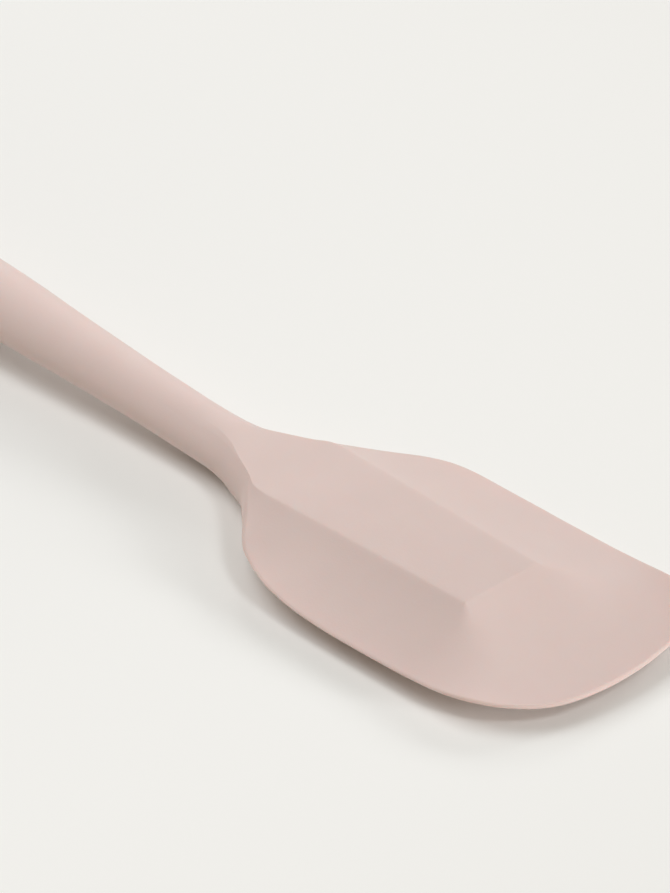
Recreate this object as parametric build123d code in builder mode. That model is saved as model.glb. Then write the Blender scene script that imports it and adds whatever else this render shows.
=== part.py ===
from build123d import *
from math import atan2, cos, degrees, hypot, radians, sin, tan
import os

# Sizes of the whole spatula. It lies on a table at Z = 0, the grip at -X and the blade's tip at +X.
overall_length = 282.0
head_height = 10.5  # from the table to the flat raised panel
blade_width = 59.4
blade_edge = 0.7  # thickness of the blade at its rim
tip_reach = 33.1  # from the end of the panel to the tip
tip_bow = 6.6  # how far the middle of the tip stands ahead of its corners
round_corner_radius = 22.8  # the tip's corner at -Y, for bowls
square_corner_radius = 12.0  # the tip's corner at +Y, for edges

# Raised panel on the blade, and the flat keel that it lies on
panel_length = 57.0
panel_root_width = 22.1
panel_end_width = 19.5
keel_width = 18.8
rim_height = 4.8  # the rim's upper edge at its lowest place
slope_flare = 8.0  # degrees by which the slope is steeper at the panel, and flatter at the rim
under_flare = 3.0

# Handle
grip_width = 22.0
grip_height = 17.6
neck_width = 12.8
neck_height = 9.9
handle_arch_height = 3.0  # highest clearance between the handle and the table
grip_round = 17.0  # length over which the end of the grip is rounded
neck_length = 24.0  # from the last oval section to the panel
shoulder_length = 41.0  # from the start of the panel to the full width of the blade
neck_side_bulge = 2.8  # swell of the neck's side beyond the edge of its flat top

# Hanging hole
hang_hole_diameter = 8.0
hang_hole_setback = 11.5  # from the end of the grip to the middle of the hole

# Punched steel core
core_thickness = 2.0
core_height = 5.2  # from the table to the core's lower face
eye_lining = 1.2  # silicone between the hanging hole and the eye
eye_rim = 2.4
spine_width = 7.0
paddle_root_width = 9.0
paddle_end_width = 15.0
paddle_cover = 5.0  # silicone between the end of the paddle and the end of the panel
paddle_corner = 3.0
lock_hole_diameter = 3.6
paddle_hole_diameter = 6.0
lock_hole_spacing = 44.0
lock_hole_count = 3
paddle_hole_count = 2

# How many even steps each loft takes
grip_end_steps = 6
body_steps = 64
tip_steps = 8

# Places that follow from the sizes
tip_x = overall_length / 2
grip_x = -overall_length / 2
panel_end_x = tip_x - tip_reach
panel_root_x = panel_end_x - panel_length
neck_x = panel_root_x - neck_length
handle_x = grip_x + grip_round
hang_hole_x = grip_x + hang_hole_setback
blade_half = blade_width / 2
slope_drop = head_height - rim_height


def cubic(start, end, leave, arrive):
    """A cubic curve from start to end that leaves and arrives at the given angles in degrees."""
    reach = hypot(end[0] - start[0], end[1] - start[1]) / 3
    after = (start[0] + reach * cos(radians(leave)), start[1] + reach * sin(radians(leave)))
    before = (end[0] - reach * cos(radians(arrive)), end[1] - reach * sin(radians(arrive)))
    return [start, after, before, end]


def flared(start, end, flare):
    """A cubic that is steeper than its chord at start by the flare, and flatter at its end."""
    chord = degrees(atan2(end[1] - start[1], end[0] - start[0]))
    return cubic(start, end, chord - flare, chord + flare)


def mirrored(curve):
    """The same curve on the other side of the handle's axis, drawn the other way."""
    return [(-across, up) for across, up in reversed(curve)]


# Angles on an oval at which its eight curves meet, matching the corners of the blade's section
oval_marks = (108, 72, 56, -56, -72, -108)


def oval_section(width, height, middle):
    """Eight cubics round an oval, clockwise from the left end of its top curve."""
    curves = []
    for start, end in zip(oval_marks[:-1], oval_marks[1:]):
        pull = 4 / 3 * tan(radians(start - end) / 4)
        near = [(width / 2 * cos(radians(a)), middle + height / 2 * sin(radians(a))) for a in (start, end)]
        along = [(width / 2 * sin(radians(a)), -height / 2 * cos(radians(a))) for a in (start, end)]
        after = (near[0][0] + pull * along[0][0], near[0][1] + pull * along[0][1])
        before = (near[1][0] - pull * along[1][0], near[1][1] - pull * along[1][1])
        curves.append([near[0], after, before, near[1]])
    top, slope, side, under, keel = curves
    return [top, slope, side, under, keel, mirrored(under), mirrored(side), mirrored(slope)]


def blade_section(panel, rim, side_height, bulge, keel, flare, crown=0.0):
    """Eight cubics round the head: panel, slopes, rim walls, underside and keel.

    panel, rim and keel are (half width, height) of those edges.
    """
    base = (rim[0], rim[1] - side_height)
    middle = panel[1] + crown
    top = [(-panel[0], panel[1]), (-panel[0] / 3, middle), (panel[0] / 3, middle), panel]
    slope = flared(panel, rim, flare)
    swell = rim[0] + bulge * 4 / 3
    side = [rim, (swell, rim[1] - side_height / 4), (swell, base[1] + side_height / 4), base]
    under = flared(base, keel, -under_flare)
    flat = [keel, (keel[0] / 3, keel[1]), (-keel[0] / 3, keel[1]), (-keel[0], keel[1])]
    return [top, slope, side, under, flat, mirrored(under), mirrored(side), mirrored(slope)]


def blend(first, second, share):
    """The section that lies between two others, point by point."""
    return [
        [tuple(a * (1 - share) + b * share for a, b in zip(p, q)) for p, q in zip(one, other)]
        for one, other in zip(first, second)
    ]


def panel_half(x):
    """Half width of the tapered panel at x."""
    root, end = panel_root_width / 2, panel_end_width / 2
    return end + (root - end) * (panel_end_x - x) / panel_length


# Handle: share of its length from the rounded end, then shares of the swell in width, of the swell
# in height and of the arch
handle_shares = (
    (0.0, 1.00, 1.00, 0.03),
    (0.18, 0.84, 0.88, 0.30),
    (0.41, 0.52, 0.61, 0.77),
    (0.63, 0.25, 0.35, 0.98),
    (0.735, 0.13, 0.18, 0.94),
    (0.815, 0.055, 0.08, 0.87),
    (0.907, 0.0, 0.0, 0.72),
    (1.0, 0.0, 0.0, 0.45),
)
# Neck: share of its length, share of the blade's section in the blend, shares of the panel's and the
# blade's half widths, of the slope's drop, of the side wall above the blade's edge, of the bulge, of
# the keel's half width and of the arch
neck_shares = (
    (0.21, 0.25, 0.230, 0.115, 0.02, 0.887, 1.40, 0.21, 0.27),
    (0.42, 0.60, 0.385, 0.172, 0.03, 0.887, 0.90, 0.38, 0.23),
    (0.62, 0.90, 0.560, 0.230, 0.03, 0.900, 0.72, 0.53, 0.13),
    (0.86, 1.00, 0.780, 0.312, 0.05, 0.840, 0.64, 0.74, 0.07),
)
# Shoulder: share of its length, then the same columns without the blend. The keel dips below the
# table here, where it is cut flat.
shoulder_shares = (
    (0.00, 0.96, 0.424, 0.20, 0.640, 0.50, 0.89, 0.03),
    (0.075, 1.0, 0.532, 0.353, 0.470, 0.36, 0.98, -0.02),
    (0.21, 1.0, 0.736, 0.640, 0.110, 0.10, 1.0, -0.04),
    (0.32, 1.0, 0.838, 0.690, 0.020, 0.04, 1.0, -0.04),
    (0.42, 1.0, 0.902, 0.735, 0.0, 0.02, 1.0, -0.04),
    (0.54, 1.0, 0.948, 0.830, 0.0, 0.02, 1.0, -0.04),
    (0.76, 1.0, 0.982, 0.966, 0.0, 0.02, 1.0, -0.04),
    (1.00, 1.0, 0.995, 1.0, 0.0, 0.02, 0.97, -0.02),
)
# Tip: share of its reach, how far out the hip between ramp and side slope lies on the way from the
# panel's edge to the rim, drop of the middle and of the rim as shares of the slope's drop, rise of the
# keel as a share of the rim's height, flare as a share of the slope's, crown as a share of the edge
tip_shares = (
    (0.00, 0.0, 0.0, 0.958, 0.02, 1.00, 0.0),
    (0.12, 0.143, 0.228, 0.924, 0.13, 0.84, 0.0),
    (0.27, 0.223, 0.482, 0.866, 0.29, 0.60, 0.0),
    (0.45, 0.323, 0.711, 0.782, 0.48, 0.40, 0.0),
    (0.67, 0.410, 0.904, 0.723, 0.64, 0.30, -0.1),
    (0.91, 0.440, 0.965, 0.672, 0.70, 0.30, -0.2),
    (1.12, 0.440, 0.950, 0.588, 0.81, 0.30, -0.2),
)


def handle_oval(width_share, height_share, arch_share, size=1.0):
    """An oval of the handle. size shrinks it about its own middle."""
    width = neck_width + (grip_width - neck_width) * width_share
    height = neck_height + (grip_height - neck_height) * height_share
    return oval_section(width * size, height * size, handle_arch_height * arch_share + height / 2)


def head_section(x, panel, rim, drop, side, bulge, keel, lift):
    """A section of the neck or shoulder, from its shares."""
    return blade_section(
        (panel_half(x) * panel, head_height),
        (blade_half * rim, head_height - slope_drop * drop),
        blade_edge + (head_height - blade_edge) * side,
        neck_side_bulge * bulge,
        (keel_width / 2 * keel, handle_arch_height * lift),
        slope_flare,
    )


def widened(inner, outer, extra):
    """The point that lies beyond outer, by extra, on the line from inner."""
    return (outer[0] + extra, outer[1] + (outer[1] - inner[1]) * extra / (outer[0] - inner[0]))


def tip_section(hip, middle, rim, keel, flare, crown, extra=0.0):
    """A section of the blade beyond the panel, from its shares. extra widens it past the blade's edge."""
    panel_edge = (
        panel_end_width / 2 + (blade_half - panel_end_width / 2) * hip,
        head_height - slope_drop * middle,
    )
    keel_edge = (keel_width / 2, rim_height * keel)
    rim_top = (blade_half, head_height - slope_drop * rim)
    wide_top = widened(panel_edge, rim_top, extra)
    wide_base = widened(keel_edge, (blade_half, rim_top[1] - blade_edge), extra)
    side_height = wide_top[1] - wide_base[1]
    return blade_section(
        panel_edge, wide_top, side_height, 0.0, keel_edge, slope_flare * flare, crown * blade_edge
    )


def body_keys():
    """(x, section) at the places that shape the handle, neck and shoulder."""
    for along, *shares in handle_shares:
        yield handle_x + (neck_x - handle_x) * along, handle_oval(*shares)
    last = handle_oval(*handle_shares[-1][1:])
    for along, share, *shares in neck_shares:
        x = neck_x + neck_length * along
        yield x, blend(last, head_section(x, *shares), share)
    for along, *shares in shoulder_shares:
        x = panel_root_x + shoulder_length * along
        yield x, head_section(x, *shares)
    yield panel_end_x, tip_section(*tip_shares[0][1:])


def tip_keys():
    """(x, section) at the places that shape the blade beyond the panel, before its outline is cut.

    They grow wider than the outline from the panel's end on, so that the cut meets a clear edge.
    """
    for along, *shares in tip_shares:
        yield panel_end_x + tip_reach * along, tip_section(*shares, extra=blade_edge * along)


def slopes(places, values):
    """Slope of a smooth curve at each of its points, level where the values turn back."""
    chords = [(b - a) / (q - p) for p, q, a, b in zip(places, places[1:], values, values[1:])]
    inner = [2 * a * b / (a + b) if a * b > 0 else 0.0 for a, b in zip(chords, chords[1:])]
    return [chords[0], *inner, chords[-1]]


def smooth_value(places, values, x):
    """Height at x of a smooth curve through the values, which never overshoots them."""
    after = next((i for i, place in enumerate(places) if place > x), len(places) - 1)
    before = after - 1
    rates = slopes(places, values)
    gap = places[after] - places[before]
    t = (x - places[before]) / gap
    return (
        (2 * t**3 - 3 * t**2 + 1) * values[before]
        + (t**3 - 2 * t**2 + t) * gap * rates[before]
        + (3 * t**2 - 2 * t**3) * values[after]
        + (t**3 - t**2) * gap * rates[after]
    )


def section_face(keys, x):
    """The face of the section at x, on smooth curves through the key sections."""
    places = [place for place, _ in keys]
    curves = []
    for i, curve in enumerate(keys[0][1]):
        points = []
        for j in range(len(curve)):
            across = smooth_value(places, [section[i][j][0] for _, section in keys], x)
            up = smooth_value(places, [section[i][j][1] for _, section in keys], x)
            points.append((x, across, up))
        curves.append(Bezier(*points))
    return Face(Wire(curves))


def even_faces(keys, start, end, count):
    """Section faces at even steps from start to end, for a loft."""
    return [section_face(keys, start + (end - start) * step / count) for step in range(count + 1)]


def grip_end_faces():
    """Section faces that round the end of the grip like the end of an egg, flat at its very end."""
    turns = [radians(90 * step / grip_end_steps) for step in range(1, grip_end_steps + 1)]
    for turn in turns:
        x = handle_x - grip_round * cos(turn) / cos(turns[0])
        section = handle_oval(*handle_shares[0][1:], size=sin(turn))
        yield Face(Wire([Bezier(*((x, across, up) for across, up in curve)) for curve in section]))


# Steel core, a flat strip with an eye, a spine and a paddle
with BuildPart() as steel_core:
    eye_radius = hang_hole_diameter / 2 + eye_lining + eye_rim
    paddle_end_x = panel_end_x - paddle_cover
    paddle_length = paddle_end_x - panel_root_x
    with BuildSketch(Plane.XY.offset(core_height)):
        with Locations((hang_hole_x, 0)):
            Circle(eye_radius)
        with Locations(((hang_hole_x + panel_root_x) / 2, 0)):
            Rectangle(panel_root_x - hang_hole_x, spine_width)
        with BuildLine():
            Polyline(
                (panel_root_x, -paddle_root_width / 2),
                (paddle_end_x, -paddle_end_width / 2),
                (paddle_end_x, paddle_end_width / 2),
                (panel_root_x, paddle_root_width / 2),
                close=True,
            )
        make_face()
    extrude(amount=core_thickness)
    fillet(steel_core.edges().filter_by(Axis.Z).group_by(Axis.X)[-1], paddle_corner)
    with Locations((hang_hole_x, 0, core_height)):
        Hole(eye_radius - eye_rim)
    with BuildSketch(Plane.XY.offset(core_height)):
        with Locations(((hang_hole_x + panel_root_x) / 2, 0)):
            with GridLocations(lock_hole_spacing, 0, lock_hole_count, 1):
                Circle(lock_hole_diameter / 2)
        with Locations(((panel_root_x + paddle_end_x) / 2, 0)):
            with GridLocations(paddle_length / paddle_hole_count, 0, paddle_hole_count, 1):
                Circle(paddle_hole_diameter / 2)
    extrude(amount=core_thickness, mode=Mode.SUBTRACT)
steel_core.part.label = "steel_core"

# The blade beyond the panel, cut to its outline: a bowed tip with one rounder corner
with BuildPart() as blade_tip:
    loft(even_faces([*tip_keys()], panel_end_x, tip_x + blade_edge, tip_steps))
    with BuildSketch():
        with BuildLine():
            corner_x = tip_x - tip_bow
            bow = ThreePointArc((corner_x, blade_half), (tip_x, 0), (corner_x, -blade_half))
            Polyline(bow @ 1, (panel_end_x, -blade_half), (panel_end_x, blade_half), bow @ 0)
        make_face()
        fillet(vertices().group_by(Axis.X)[-1].sort_by(Axis.Y)[0], round_corner_radius)
        fillet(vertices().sort_by(Axis.Y)[-2:].sort_by(Axis.X)[-1], square_corner_radius)
    extrude(amount=head_height, mode=Mode.INTERSECT)

# Silicone body: handle, neck, panel and blade in one moulding
with BuildPart() as silicone_body:
    loft([*grip_end_faces()])
    loft(even_faces([*body_keys()], handle_x, panel_end_x, body_steps))
    add(blade_tip.part)
    split(bisect_by=Plane.XY, keep=Keep.TOP)
    with Locations((hang_hole_x, 0, grip_height)):
        Hole(hang_hole_diameter / 2)
    add(steel_core.part, mode=Mode.SUBTRACT)
silicone_body.part.label = "silicone_body"

os.makedirs("parts", exist_ok=True)
export_step(silicone_body.part, "parts/silicone_body.step")
export_step(steel_core.part, "parts/steel_core.step")
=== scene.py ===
from math import atan2, cos, hypot, pi, radians, sin, sqrt

import bmesh
import bpy
import numpy as np
from mathutils import Matrix, Vector


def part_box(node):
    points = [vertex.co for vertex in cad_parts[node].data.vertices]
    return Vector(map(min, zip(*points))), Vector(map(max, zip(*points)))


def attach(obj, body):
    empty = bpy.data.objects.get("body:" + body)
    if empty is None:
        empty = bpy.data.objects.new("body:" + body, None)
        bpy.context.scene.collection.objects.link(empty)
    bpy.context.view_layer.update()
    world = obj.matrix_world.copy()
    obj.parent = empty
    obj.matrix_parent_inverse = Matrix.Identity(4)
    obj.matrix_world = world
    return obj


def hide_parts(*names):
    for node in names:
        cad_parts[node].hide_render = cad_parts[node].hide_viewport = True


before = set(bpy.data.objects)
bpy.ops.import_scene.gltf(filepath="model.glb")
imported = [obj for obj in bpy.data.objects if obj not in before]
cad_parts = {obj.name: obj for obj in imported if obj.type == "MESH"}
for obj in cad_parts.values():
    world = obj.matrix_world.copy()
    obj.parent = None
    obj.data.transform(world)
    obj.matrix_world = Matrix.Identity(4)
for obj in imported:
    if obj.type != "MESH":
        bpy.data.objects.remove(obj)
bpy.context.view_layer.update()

# Sizes in metres. The spatula lies on a table at Z = 0, the grip at -X and the blade's tip at +X.
body_low, body_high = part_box("silicone_body")
tip_x = body_high[0]
grip_x = body_low[0]
blade_half = body_high[1]
head_height = 0.0105  # from the table to the flat raised panel
blade_edge = 0.0007
tip_reach = 0.0331  # from the end of the panel to the tip
tip_bow = 0.0066
round_corner_radius = 0.0228  # the tip's corner at -Y
square_corner_radius = 0.012  # the tip's corner at +Y
panel_length = 0.057
panel_root_width = 0.0221
panel_end_width = 0.0195
keel_width = 0.0188
rim_height = 0.0048
slope_flare = 8.0  # degrees by which the slope is steeper at the panel, and flatter at the rim
under_flare = 3.0
grip_width = 0.022
grip_height = 0.0176
neck_width = 0.0128
neck_height = 0.0099
handle_arch_height = 0.003
grip_round = 0.017
neck_length = 0.024
shoulder_length = 0.041
neck_side_bulge = 0.0028
hang_hole_radius = 0.004
hang_hole_setback = 0.0115
hang_hole_lip = 0.0008  # rounding of the hole's mouth
hang_hole_patch = 0.0056  # radius out to which the surface is laid round the hole

# Places that follow from the sizes
panel_end_x = tip_x - tip_reach
panel_root_x = panel_end_x - panel_length
neck_x = panel_root_x - neck_length
handle_x = grip_x + grip_round
hang_hole_x = grip_x + hang_hole_setback
slope_drop = head_height - rim_height
rim_round = blade_edge / 2
rim_half = blade_half - rim_round

# The tip's edge is a bow between its two corners
bow_radius = (blade_half**2 + tip_bow**2) / (2 * tip_bow)
bow_middle_x = tip_x - bow_radius

# How finely the tip's outline is divided: its straight side, its corner and half of its bow
straight_steps = 18
corner_steps = 30
bow_steps = 14

# How far apart the sections lie: round the grip's end, along the handle and along the head
grip_turn_step = radians(4)
handle_step = 0.0022
head_step = 0.0009
merge_distance = 1e-6

# How finely each stretch round a half section is divided, from its top middle to its bottom middle
top_steps = 9
slope_steps = 16
side_steps = 20
under_steps = 14
keel_steps = 6
panel_column = top_steps
rim_column = top_steps + slope_steps
base_column = rim_column + side_steps
keel_column = base_column + under_steps
oval_marks = (90, 72, 56, -56, -72, -90)  # degrees at which the stretches of the handle's oval meet

# Over how many rows or columns a crease is rounded to each side, and how often
crease_reach = 2
crease_passes = 3
keel_passes = 4

# The hanging hole's mouth: how finely it is divided round the hole and over its lip
hole_segments = 64
lip_steps = 6

# Handle: share of its length from the rounded end, then shares of the swell in width, of the swell
# in height and of the arch
handle_shares = (
    (0.0, 1.00, 1.00, 0.03),
    (0.18, 0.84, 0.88, 0.30),
    (0.41, 0.52, 0.61, 0.77),
    (0.63, 0.25, 0.35, 0.98),
    (0.735, 0.13, 0.18, 0.94),
    (0.815, 0.055, 0.08, 0.87),
    (0.907, 0.0, 0.0, 0.72),
    (1.0, 0.0, 0.0, 0.45),
)
# Neck: share of its length, share of the blade's section in the blend, shares of the panel's and the
# blade's half widths, of the slope's drop, of the side wall above the blade's edge, of the bulge, of
# the keel's half width and of the arch
neck_shares = (
    (0.21, 0.25, 0.230, 0.115, 0.02, 0.887, 1.40, 0.21, 0.27),
    (0.42, 0.60, 0.385, 0.172, 0.03, 0.887, 0.90, 0.38, 0.23),
    (0.62, 0.90, 0.560, 0.230, 0.03, 0.900, 0.72, 0.53, 0.13),
    (0.86, 1.00, 0.780, 0.312, 0.05, 0.840, 0.64, 0.74, 0.07),
)
# Shoulder: share of its length, then the same columns without the blend. The keel dips below the
# table here, where it is cut flat.
shoulder_shares = (
    (0.00, 0.96, 0.424, 0.20, 0.640, 0.50, 0.89, 0.03),
    (0.075, 1.0, 0.532, 0.353, 0.470, 0.36, 0.98, -0.02),
    (0.21, 1.0, 0.736, 0.640, 0.110, 0.10, 1.0, -0.04),
    (0.32, 1.0, 0.838, 0.690, 0.020, 0.04, 1.0, -0.04),
    (0.42, 1.0, 0.902, 0.735, 0.0, 0.02, 1.0, -0.04),
    (0.54, 1.0, 0.948, 0.830, 0.0, 0.02, 1.0, -0.04),
    (0.76, 1.0, 0.982, 0.966, 0.0, 0.02, 1.0, -0.04),
    (1.00, 1.0, 0.995, 1.0, 0.0, 0.02, 0.97, -0.02),
)
# Tip: share of its reach, how far out the hip between ramp and side slope lies on the way from the
# panel's edge to the rim, drop of the middle and of the rim as shares of the slope's drop, rise of the
# keel as a share of the rim's height, flare as a share of the slope's, crown as a share of the edge
tip_shares = (
    (0.00, 0.0, 0.0, 0.958, 0.02, 1.00, 0.0),
    (0.12, 0.143, 0.228, 0.924, 0.13, 0.84, 0.0),
    (0.27, 0.223, 0.482, 0.866, 0.29, 0.60, 0.0),
    (0.45, 0.323, 0.711, 0.782, 0.48, 0.40, 0.0),
    (0.67, 0.410, 0.904, 0.723, 0.64, 0.30, -0.1),
    (0.91, 0.440, 0.965, 0.672, 0.70, 0.30, -0.2),
    (1.12, 0.440, 0.950, 0.588, 0.81, 0.30, -0.2),
)


def closer_at_end(steps):
    """Shares from 0 to 1 that lie closer together towards 1."""
    return np.sin(np.linspace(0, pi / 2, steps + 1))


def closer_at_both(steps):
    """Shares from 0 to 1 that lie closer together towards both ends."""
    t = np.linspace(0, 1, steps + 1)
    return t * t * (3 - 2 * t)


# A hip is rounded over a width that grows with its distance from the panel, by a bell of samples
hip_softness = 0.6  # half that width as a share of the distance
hip_samples = 9
hip_bell = np.hanning(hip_samples + 2)[1:-1]
hip_weights = hip_bell / hip_bell.sum()
top_shares = closer_at_end(top_steps)
slope_shares = closer_at_both(slope_steps)[1:]
side_shares = np.linspace(0, 1, side_steps + 1)[1:]
under_shares = closer_at_both(under_steps)[1:]
keel_shares = 1 - closer_at_end(keel_steps)[::-1][1:]


def bezier(points, t):
    """Points on a cubic curve."""
    a, b, c, d = (np.array(point)[None, :] for point in points)
    t = t[:, None]
    return a * (1 - t) ** 3 + b * 3 * t * (1 - t) ** 2 + c * 3 * t * t * (1 - t) + d * t**3


def flared(start, end, flare):
    """A cubic that is steeper than its chord at start by the flare, and flatter at its end."""
    reach = hypot(end[0] - start[0], end[1] - start[1]) / 3
    chord = atan2(end[1] - start[1], end[0] - start[0])
    leave, arrive = chord - radians(flare), chord + radians(flare)
    after = (start[0] + reach * cos(leave), start[1] + reach * sin(leave))
    before = (end[0] - reach * cos(arrive), end[1] - reach * sin(arrive))
    return start, after, before, end


def half_oval(width, height, middle):
    """Half a section of the handle, as (across, up) points from its top to its bottom."""
    top, slope_start, *_ = oval_marks
    angles = [top + (slope_start - top) * top_shares]
    all_shares = (slope_shares, side_shares, under_shares, keel_shares)
    stretches = zip(oval_marks[1:-1], oval_marks[2:], all_shares)
    angles += [start + (end - start) * shares for start, end, shares in stretches]
    turns = np.radians(np.concatenate(angles))
    return np.stack([width / 2 * np.cos(turns), middle + height / 2 * np.sin(turns)], -1)


def half_blade(panel, rim, side_height, bulge, keel, flare, crown=0.0):
    """Half a section of the head: panel, slope, rim wall, underside and keel.

    panel, rim and keel are (half width, height) of those edges. The rim wall is rounded.
    """
    base = (rim[0], rim[1] - side_height)
    across = panel[0] * top_shares
    up = panel[1] + crown * 3 / 4 * (1 - top_shares**2)
    top = np.stack([across, up], -1)
    slope = bezier(flared(panel, rim, flare), slope_shares)
    swell = rim[0] + (bulge + rim_round) * 4 / 3
    wall = (rim, (swell, rim[1] - side_height / 4), (swell, base[1] + side_height / 4), base)
    side = bezier(wall, side_shares)
    under = bezier(flared(base, keel, -under_flare), under_shares)
    flat = np.stack([keel[0] * (1 - keel_shares), np.full(keel_steps, keel[1])], -1)
    return np.concatenate([top, slope, side, under, flat])


def handle_oval(width_share, height_share, arch_share):
    """Half an oval of the handle, from its shares."""
    width = neck_width + (grip_width - neck_width) * width_share
    height = neck_height + (grip_height - neck_height) * height_share
    return half_oval(width, height, handle_arch_height * arch_share + height / 2)


def head_section(x, panel, rim, drop, side, bulge, keel, lift):
    """Half a section of the neck or shoulder, from its shares."""
    root, end = panel_root_width / 2, panel_end_width / 2
    panel_half = end + (root - end) * (panel_end_x - x) / panel_length
    return half_blade(
        (panel_half * panel, head_height),
        (blade_half * rim - rim_round, head_height - slope_drop * drop),
        blade_edge + (head_height - blade_edge) * side,
        neck_side_bulge * bulge,
        (keel_width / 2 * keel, handle_arch_height * lift),
        slope_flare,
    )


def tip_section(hip, middle, rim, keel, flare, crown):
    """Half a section of the blade beyond the panel, from its shares."""
    hip_half = panel_end_width / 2 + (blade_half - panel_end_width / 2) * hip
    return half_blade(
        (hip_half, head_height - slope_drop * middle),
        (rim_half, head_height - slope_drop * rim),
        blade_edge,
        0.0,
        (keel_width / 2, rim_height * keel),
        slope_flare * flare,
        crown * blade_edge,
    )


def body_keys():
    """(x, half section) at the places that shape the handle, neck and shoulder."""
    for along, *shares in handle_shares:
        yield handle_x + (neck_x - handle_x) * along, handle_oval(*shares)
    last = handle_oval(*handle_shares[-1][1:])
    for along, share, *shares in neck_shares:
        x = neck_x + neck_length * along
        yield x, last * (1 - share) + head_section(x, *shares) * share
    for along, *shares in shoulder_shares:
        x = panel_root_x + shoulder_length * along
        yield x, head_section(x, *shares)
    yield panel_end_x, tip_section(*tip_shares[0][1:])


def tip_keys():
    """(x, half section) at the places that shape the blade beyond the panel."""
    for along, *shares in tip_shares:
        yield panel_end_x + tip_reach * along, tip_section(*shares)


def smooth_sections(keys):
    """A function of x that runs smoothly through the key sections and overshoots none."""
    places = np.array([x for x, _ in keys])
    shapes = np.array([shape for _, shape in keys])
    chords = np.diff(shapes, axis=0) / np.diff(places)[:, None, None]
    before, after = chords[:-1], chords[1:]
    steady = before * after > 0
    inner = np.where(steady, 2 * before * after / np.where(steady, before + after, 1), 0)
    rates = np.concatenate([chords[:1], inner, chords[-1:]])

    def section(x):
        i = int(np.clip(np.searchsorted(places, x, side="right") - 1, 0, len(places) - 2))
        gap = places[i + 1] - places[i]
        t = (x - places[i]) / gap
        return (
            (2 * t**3 - 3 * t**2 + 1) * shapes[i]
            + (t**3 - 2 * t**2 + t) * gap * rates[i]
            + (3 * t**2 - 2 * t**3) * shapes[i + 1]
            + (t**3 - t**2) * gap * rates[i + 1]
        )

    return section


body_section = smooth_sections([*body_keys()])
blade_section = smooth_sections([*tip_keys()])


def upright_ring(x, section):
    """A half ring of (x, y, z) points at one x."""
    return np.column_stack([np.full(len(section), x), section])


def grip_size(x):
    """How large the rounded end of the grip is at x, as a share of its full size."""
    inside = min(max((handle_x - x) / grip_round, 0), 1)
    return sqrt(1 - inside**2)


def grip_end_ring(x):
    """A half ring of the grip's round end."""
    section = handle_oval(*handle_shares[0][1:])
    middle = np.array([0, (section[0][1] + section[-1][1]) / 2])
    return upright_ring(x, middle + (section - middle) * grip_size(x))


def blade_height(x, across, upper):
    """Height of the blade's upper or lower surface beyond the panel.

    The hips between the ramp and the side slopes grow softer with their distance from the panel.
    """
    section = blade_section(x)
    if upper:
        surface = section[: rim_column + 1]
    else:
        surface = section[:base_column - 1:-1]
    reach = min(hip_softness * max(x - panel_end_x, 0), rim_half - across)
    places = abs(across + reach * np.linspace(-1, 1, hip_samples))
    return np.interp(places, surface[:, 0], surface[:, 1]) @ hip_weights


def outline_places(side):
    """(place, way out) along the blade's edge on one side, from the panel's end to the tip's middle."""
    radius = square_corner_radius if side > 0 else round_corner_radius
    corner_y = blade_half - radius
    corner_x = bow_middle_x + sqrt((bow_radius - radius) ** 2 - corner_y**2)
    bow_turn = atan2(corner_y, corner_x - bow_middle_x)
    for share in np.linspace(0, 1, straight_steps + 1)[:-1] ** 2:
        x = panel_end_x + (corner_x - panel_end_x) * share
        yield np.array([x, side * rim_half]), np.array([0, side])
    for share in np.linspace(0, 1, corner_steps + 1)[:-1]:
        turn = pi / 2 + (bow_turn - pi / 2) * share
        outward = np.array([cos(turn), side * sin(turn)])
        yield np.array([corner_x, side * corner_y]) + outward * (radius - rim_round), outward
    for share in np.linspace(0, 1, bow_steps + 1):
        turn = bow_turn * (1 - share)
        outward = np.array([cos(turn), side * sin(turn)])
        yield np.array([bow_middle_x, 0]) + outward * (bow_radius - rim_round), outward


def blade_ring(start, outward, end, end_outward):
    """A half ring that leaves the blade's edge squarely at start, on its way to end across it."""
    turn = start - outward * abs(start[1]) * 2 / 3
    end_turn = end - end_outward * abs(end[1]) * 2 / 3
    panel_share = panel_end_width / 2 / rim_half
    keel_share = keel_width / 2 / rim_half
    over = np.concatenate([panel_share * top_shares, panel_share + (1 - panel_share) * slope_shares])
    under = np.concatenate([1 - (1 - keel_share) * under_shares, keel_share * (1 - keel_shares)])

    def surface(shares, upper):
        places = bezier((start, turn, end_turn, end), (1 - shares) / 2)
        heights = [blade_height(x, abs(y), upper) for x, y in places]
        return np.column_stack([places, heights])

    above, below = surface(over, True), surface(under, False)
    rim_top = above[-1][2]
    rim_base = blade_height(start[0], abs(start[1]), False)
    t = side_shares
    swell = rim_round * 4 * t * (1 - t)
    fall = 3 / 4 * t * (1 - t) ** 2 + 9 / 4 * t * t * (1 - t) + t**3
    places = start + outward * swell[:, None]
    side = np.column_stack([places, rim_top + (rim_base - rim_top) * fall])
    return np.concatenate([above, side, below])


def spread(start, end, step, fine_end=False):
    """Places from start towards end, about a step apart, and closer together at a fine end."""
    count = max(2, round((end - start) / step))
    t = np.linspace(0, 1, count + 1)[:-1]
    if fine_end:
        t = np.sin(t * pi / 2)
    return start + (end - start) * t


def all_rings(side):
    """Half rings of the whole body on one side, from the end of the grip to the tip."""
    for turn in spread(0, pi / 2, grip_turn_step):
        yield grip_end_ring(handle_x - grip_round * cos(turn)) * (1, side, 1)
    for x in spread(handle_x, neck_x, handle_step):
        yield upright_ring(x, body_section(x)) * (1, side, 1)
    for x in spread(neck_x, panel_root_x + shoulder_length, head_step):
        yield upright_ring(x, body_section(x)) * (1, side, 1)
    for x in spread(panel_root_x + shoulder_length, panel_end_x, head_step, fine_end=True):
        yield upright_ring(x, body_section(x)) * (1, side, 1)
    for here, across in zip(outline_places(side), outline_places(-side)):
        yield blade_ring(*here, *across)


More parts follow.
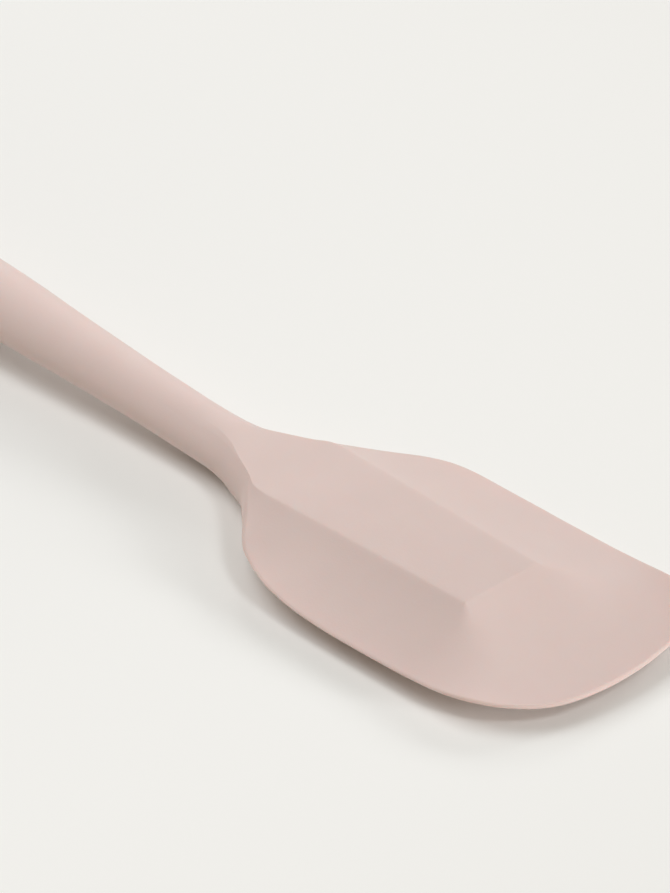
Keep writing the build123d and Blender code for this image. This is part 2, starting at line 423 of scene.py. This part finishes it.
def soften_along(rings, column, passes, last_x):
    """Rounds the crease that runs along a column, from the neck to a place along the spatula."""
    inside = (rings[:, column, 0] >= neck_x) & (rings[:, column, 0] <= last_x)
    columns = slice(column - crease_reach - 1, column + crease_reach + 2)
    for _ in range(passes):
        near = rings[inside, columns]
        near[:, 1:-1] = (near[:, :-2] + 2 * near[:, 1:-1] + near[:, 2:]) / 4
        rings[inside, columns] = near


def soften_end(rings):
    """Rounds the crease across the end of the panel."""
    row = int(np.argmin(np.abs(rings[:, 0, 0] - panel_end_x)))
    rows = slice(row - crease_reach - 1, row + crease_reach + 2)
    columns = slice(0, panel_column + crease_reach + 1)
    for _ in range(crease_passes):
        near = rings[rows, columns]
        near[1:-1] = (near[:-2] + 2 * near[1:-1] + near[2:]) / 4
        rings[rows, columns] = near


def grip_surface(x, y, upper):
    """Height of the grip's upper or lower surface."""
    half_width = grip_width / 2 * grip_size(x)
    half_height = grip_height / 2 * grip_size(x)
    middle = handle_arch_height * handle_shares[0][3] + grip_height / 2
    rise = half_height * sqrt(1 - (y / half_width) ** 2)
    return middle + rise if upper else middle - rise


def hole_mouth(bm, upper):
    """Lays the grip's surface round the hanging hole, with a rounded lip. Returns its two loops."""
    turns = [radians(90 * step / lip_steps) for step in range(lip_steps + 1)]
    lip = [(hang_hole_lip * (1 - sin(turn)), hang_hole_lip * (1 - cos(turn))) for turn in turns]
    made = bmesh.ops.create_circle(bm, segments=hole_segments, radius=hang_hole_patch)
    ring = made["verts"]
    outer = list(dict.fromkeys(edge for vert in ring for edge in vert.link_edges))
    loop = outer
    for step, (outside, down) in enumerate(lip):
        if step:
            made = bmesh.ops.extrude_edge_only(bm, edges=loop)
            loop = [part for part in made["geom"] if isinstance(part, bmesh.types.BMEdge)]
            ring = [part for part in made["geom"] if isinstance(part, bmesh.types.BMVert)]
        radius = hang_hole_patch if step == 0 else hang_hole_radius + outside
        for vert in ring:
            turn = atan2(vert.co.y, vert.co.x - (0 if step == 0 else hang_hole_x))
            vert.co.x = hang_hole_x + radius * cos(turn)
            vert.co.y = radius * sin(turn)
            height = grip_surface(vert.co.x, vert.co.y, upper)
            vert.co.z = height - down if upper else height + down
    return outer, loop


def cut_hanging_hole(bm):
    """Opens the hanging hole through the grip."""
    near = [
        face
        for face in bm.faces
        if any(hypot(v.co.x - hang_hole_x, v.co.y) < hang_hole_patch for v in face.verts)
    ]
    bmesh.ops.delete(bm, geom=near, context="FACES")
    open_edges = [edge for edge in bm.edges if edge.is_boundary]
    middle = grip_height / 2
    mouths = []
    for upper in (True, False):
        old = [e for e in open_edges if (e.verts[0].co.z > middle) == upper]
        outer, loop = hole_mouth(bm, upper)
        bmesh.ops.triangle_fill(bm, edges=old + outer, use_beauty=True, normal=(0, 0, 1))
        mouths += loop
    bmesh.ops.bridge_loops(bm, edges=mouths)


def lay_half(bm, side):
    """Lays the moulding's half on one side, ring by ring."""
    rings = np.array([*all_rings(side)])
    rings[:, :, 2] = np.maximum(rings[:, :, 2], 0)
    soften_along(rings, panel_column, crease_passes, panel_end_x)
    soften_along(rings, rim_column, crease_passes, panel_end_x)
    soften_along(rings, keel_column, keel_passes, tip_x)
    soften_end(rings)
    rows, columns = len(rings), len(rings[0])
    made = bmesh.ops.create_grid(bm, x_segments=rows - 1, y_segments=columns - 1, size=1)
    for vert in made["verts"]:
        row = round((vert.co.x + 1) / 2 * (rows - 1))
        column = round((vert.co.y + 1) / 2 * (columns - 1))
        vert.co = Vector(rings[row][column])


def silicone_mesh():
    """The whole moulding: two halves that meet along the middle, with the hanging hole."""
    bm = bmesh.new()
    lay_half(bm, 1)
    lay_half(bm, -1)
    bmesh.ops.remove_doubles(bm, verts=bm.verts, dist=merge_distance)
    cut_hanging_hole(bm)
    bmesh.ops.remove_doubles(bm, verts=bm.verts, dist=merge_distance)
    bmesh.ops.recalc_face_normals(bm, faces=bm.faces)
    return bm


def add_piece(name, bm, material):
    """Turns a bmesh into a smoothly shaded object that stays at the origin."""
    for face in bm.faces:
        face.smooth = True
    mesh = bpy.data.meshes.new(name)
    bm.to_mesh(mesh)
    bm.free()
    mesh.materials.append(material)
    piece = bpy.data.objects.new(name, mesh)
    bpy.context.scene.collection.objects.link(piece)
    return piece


class Value:
    """A shader socket that takes Python arithmetic."""

    def __init__(self, finish, socket):
        self.finish = finish
        self.socket = socket

    def _math(self, operation, first, second):
        return self.finish.node("ShaderNodeMath", {"operation": operation}, {0: first, 1: second})

    def __add__(self, other):
        return self._math("ADD", self, other)

    __radd__ = __add__

    def __sub__(self, other):
        return self._math("SUBTRACT", self, other)

    def __rsub__(self, other):
        return self._math("SUBTRACT", other, self)

    def __mul__(self, other):
        return self._math("MULTIPLY", self, other)

    __rmul__ = __mul__


class Finish:
    """One material, with its shader's fixed numbers set on the shader itself."""

    def __init__(self, name, **fixed):
        self.material = bpy.data.materials.new(name)
        self.material.use_nodes = True
        self.tree = self.material.node_tree
        self.shader = self.tree.nodes["Principled BSDF"]
        for key, value in fixed.items():
            self.shader.inputs[key.replace("_", " ")].default_value = value

    def feed(self, socket, value):
        """Gives a socket a number, a colour or a link."""
        if isinstance(value, Value):
            self.tree.links.new(value.socket, socket)
        else:
            socket.default_value = value

    def node(self, kind, settings, inputs, output=0):
        """Makes any node from its settings and the values or links of its sockets."""
        made = self.tree.nodes.new(kind)
        for key, value in settings.items():
            setattr(made, key, value)
        for key, value in inputs.items():
            self.feed(made.inputs[key], value)
        return Value(self, made.outputs[output])

    def place(self, scale=(1, 1, 1), moved=(0, 0, 0)):
        """Object coordinates, stretched by a scale and then moved."""
        where = self.node("ShaderNodeTexCoord", {}, {}, "Object")
        inputs = {"Vector": where, "Scale": scale, "Location": moved}
        return self.node("ShaderNodeMapping", {}, inputs)

    def noise(self, where, size, detail=3.0, roughness=0.5):
        """Noise between 0 and 1 whose blobs are about a size across, in metres."""
        inputs = {"Vector": where, "Scale": 1 / size, "Detail": detail, "Roughness": roughness}
        return self.node("ShaderNodeTexNoise", {}, inputs, 0)

    def blend(self, share, first, second):
        """A colour between two others."""
        settings = {"data_type": "RGBA"}
        return self.node("ShaderNodeMix", settings, {0: share, 6: first, 7: second}, 2)

    def bump(self, height, depth, strength=1.0):
        """Bumps of a depth in metres."""
        inputs = {"Height": height, "Distance": depth, "Strength": strength}
        return self.node("ShaderNodeBump", {}, inputs)

    def show(self, **inputs):
        """Links what varies over the surface to the shader."""
        for key, value in inputs.items():
            self.feed(self.shader.inputs[key.replace("_", " ")], value)


def moulded_silicone():
    """Matte dusty pink silicone: a fine even grain, faint mottling and light let through thin edges."""
    finish = Finish(
        "moulded_silicone",
        Subsurface_Weight=0.35,
        Subsurface_Radius=(1.0, 0.45, 0.35),
        Subsurface_Scale=0.0025,
        Specular_IOR_Level=0.35,
        IOR=1.42,
    )
    where = finish.place()
    mottling = finish.noise(where, 0.018, detail=2.0)
    grain = finish.noise(where, 0.00045, detail=2.0)
    ripple = finish.noise(where, 0.006, detail=1.0)
    pale = (0.735, 0.588, 0.541, 1)
    deep = (0.690, 0.541, 0.494, 1)
    finish.show(
        Base_Color=finish.blend(mottling, deep, pale),
        Roughness=0.5 + 0.12 * grain,
        Normal=finish.bump(grain + 0.8 * ripple, 0.00003, 0.6),
    )
    return finish.material


def rolled_steel():
    """Stainless strip with fine rolling lines along it."""
    finish = Finish("rolled_steel", Metallic=1.0)
    lines = finish.noise(finish.place((0.04, 1, 1)), 0.0003, detail=4.0)
    clouds = finish.noise(finish.place(), 0.012)
    finish.show(
        Base_Color=finish.blend(clouds, (0.52, 0.52, 0.53, 1), (0.66, 0.66, 0.67, 1)),
        Roughness=0.28 + 0.16 * lines,
        Normal=finish.bump(lines, 0.00001, 0.5),
    )
    return finish.material


# The moulding stands for its plain solid, and the steel strip inside keeps its own
silicone = add_piece("silicone_moulding", silicone_mesh(), moulded_silicone())
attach(silicone, "root")
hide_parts("silicone_body")

core_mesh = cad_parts["steel_core"].data
core_mesh.materials.clear()
core_mesh.materials.append(rolled_steel())


def add_floor():
    """A plain pale table, a little darker below the near lamp, so that it looks evenly lit."""
    table = Finish("pale_table", Roughness=0.9, Specular_IOR_Level=0.1)
    middle_x, middle_y, reach = -0.111, -0.053, 0.395
    moved = (-middle_x / reach, -middle_y / reach, 0)
    where = table.place((1 / reach, 1 / reach, 1), moved)
    kind = {"gradient_type": "QUADRATIC_SPHERE"}
    nearness = table.node("ShaderNodeTexGradient", kind, {"Vector": where})
    away = (0.999, 0.989, 0.951, 1)
    below_lamp = (0.740, 0.732, 0.704, 1)
    table.show(Base_Color=table.blend(nearness, away, below_lamp))
    bm = bmesh.new()
    bmesh.ops.create_grid(bm, x_segments=2, y_segments=2, size=30)
    floor = add_piece("floor", bm, table.material)


def add_lamp(name, azimuth, elevation, distance, size, power):
    """A square soft lamp, faintly cool, that shines on the panel's end. Azimuth 0 is +X, 90 is +Y."""
    lamp = bpy.data.lights.new(name, "AREA")
    lamp.shape = "SQUARE"
    lamp.size = size
    lamp.energy = power
    lamp.color = (0.9375, 0.9615, 1.0)
    holder = bpy.data.objects.new(name, lamp)
    holder.visible_camera = False
    turn, rise = radians(azimuth), radians(elevation)
    away = Vector((cos(turn) * cos(rise), sin(turn) * cos(rise), sin(rise)))
    holder.matrix_world = Matrix.LocRotScale(
        Vector((panel_end_x, 0, 0)) + away * distance, away.to_track_quat("Z", "Y"), None
    )
    bpy.context.scene.collection.objects.link(holder)


def light_scene():
    """A warm pale surround, soft lamps beyond the tip and far side, and a near one over the grip."""
    world = bpy.data.worlds.new("surround")
    world.use_nodes = True
    background = world.node_tree.nodes["Background"]
    background.inputs["Color"].default_value = (1.0, 0.917, 0.789, 1)
    background.inputs["Strength"].default_value = 0.247
    bpy.context.scene.world = world
    add_lamp("tip_low", azimuth=20, elevation=12, distance=3.0, size=0.7, power=47.2)
    add_lamp("tip_high", azimuth=0, elevation=50, distance=3.0, size=0.7, power=18.0)
    add_lamp("far_side", azimuth=90, elevation=25, distance=3.0, size=0.7, power=12.1)
    add_lamp("far_back", azimuth=130, elevation=25, distance=3.0, size=0.7, power=11.4)
    add_lamp("grip_near", azimuth=200, elevation=55, distance=0.55, size=0.45, power=1.54)


def add_camera():
    """The photographed view: where its pixels lie comes from the place of the panel's far end."""
    photo_width, photo_height = 670, 893
    panel_end_pixel = (501, 582.5)
    metres_per_pixel = 0.058 / 302
    azimuth, elevation = radians(45.5), radians(34.1)
    distance = 5.0
    back = Vector((sin(azimuth) * cos(elevation), -cos(azimuth) * cos(elevation), sin(elevation)))
    right = Vector((cos(azimuth), sin(azimuth), 0))
    up = back.cross(right)
    across = (panel_end_pixel[0] - photo_width / 2) * metres_per_pixel
    down = (panel_end_pixel[1] - photo_height / 2) * metres_per_pixel
    middle = Vector((panel_end_x, 0, head_height)) - right * across + up * down
    data = bpy.data.cameras.new("photo_view")
    data.sensor_fit = "VERTICAL"
    data.sensor_height = 36
    data.lens = data.sensor_height * distance / (photo_height * metres_per_pixel)
    data.clip_start = 0.1
    data.clip_end = 200
    camera = bpy.data.objects.new("photo_view", data)
    turned = Matrix((right, up, back)).transposed().to_4x4()
    camera.matrix_world = Matrix.Translation(middle + back * distance) @ turned
    bpy.context.scene.collection.objects.link(camera)
    bpy.context.scene.camera = camera


add_floor()
light_scene()
add_camera()
bpy.context.scene.view_settings.view_transform = "Standard"
